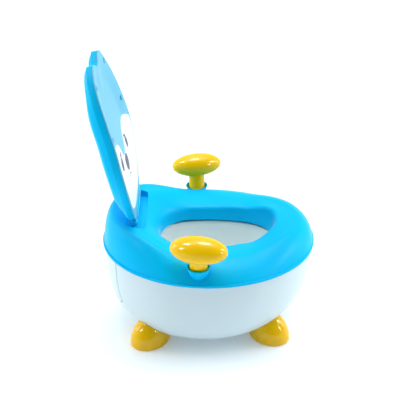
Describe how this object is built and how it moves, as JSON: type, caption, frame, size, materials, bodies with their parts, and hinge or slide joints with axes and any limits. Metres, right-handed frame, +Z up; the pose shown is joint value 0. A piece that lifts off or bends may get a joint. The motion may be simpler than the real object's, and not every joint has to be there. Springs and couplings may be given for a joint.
{
  "type": "potty training chair",
  "caption": "Oval toddler potty chair on a rounded tub, with side grips, a hinged animal-face lid, stub feet and a rear pull-out drawer that holds the waste bowl.",
  "frame": {"origin": "on the floor, at the middle of the overall length and width with the lid open", "axes": "+Z up, -Y to the front of the chair, +X to the sitter's left hand side when facing -Y"},
  "size_m": [0.3282, 0.3578, 0.4597],
  "materials": {
    "shell_blue": "smooth semi-gloss moulded blue",
    "panel_blue": "smooth pale blue moulded panel",
    "tub_white": "smooth semi-gloss white",
    "bowl_white": "smooth cool white",
    "grip_yellow": "high-gloss yellow",
    "foot_yellow": "high-gloss yellow",
    "bumper_teal": "soft matt",
    "pad_rubber": "matt grey",
    "screw_steel": "zinc plated"
  },
  "bodies": {
    "chair": {"seat_shell": "shell_blue", "tub_shell": "tub_white", "drawer_rail_left": "tub_white", "drawer_rail_right": "tub_white", "foot_front_left": "foot_yellow", "foot_front_right": "foot_yellow", "foot_rear_left": "foot_yellow", "foot_rear_right": "foot_yellow", "foot_pad_front_left": "pad_rubber", "foot_pad_front_right": "pad_rubber", "foot_pad_rear_left": "pad_rubber", "foot_pad_rear_right": "pad_rubber", "foot_screw_front_left": "screw_steel", "foot_screw_front_right": "screw_steel", "foot_screw_rear_left": "screw_steel", "foot_screw_rear_right": "screw_steel", "seat_screw_front_left": "screw_steel", "seat_screw_front_right": "screw_steel", "seat_screw_rear_left": "screw_steel", "seat_screw_rear_right": "screw_steel", "grip_screw_left": "screw_steel", "grip_screw_right": "screw_steel", "hinge_pin_left": "screw_steel", "hinge_pin_right": "screw_steel", "grip_left": "grip_yellow", "grip_right": "grip_yellow", "grip_stem_left": "grip_yellow", "grip_stem_right": "grip_yellow"},
    "lid": {"lid_back": "shell_blue", "lid_face": "panel_blue", "lid_bumper_upper_left": "bumper_teal", "lid_bumper_upper_right": "bumper_teal", "lid_bumper_lower_left": "bumper_teal", "lid_bumper_lower_right": "bumper_teal"},
    "drawer": {"drawer_panel": "tub_white", "drawer_tray": "tub_white", "waste_bowl": "bowl_white"}
  },
  "joints": [
    {"name": "lid_hinge", "type": "hinge", "parent": "chair", "child": "lid", "pos_m": [0, 0.1142, 0.208], "axis": [1, 0, 0], "range_deg": [0, 105]},
    {"name": "drawer_slide", "type": "slide", "parent": "chair", "child": "drawer", "axis": [0, 1, 0], "range_m": [0, 0.2]}
  ]
}
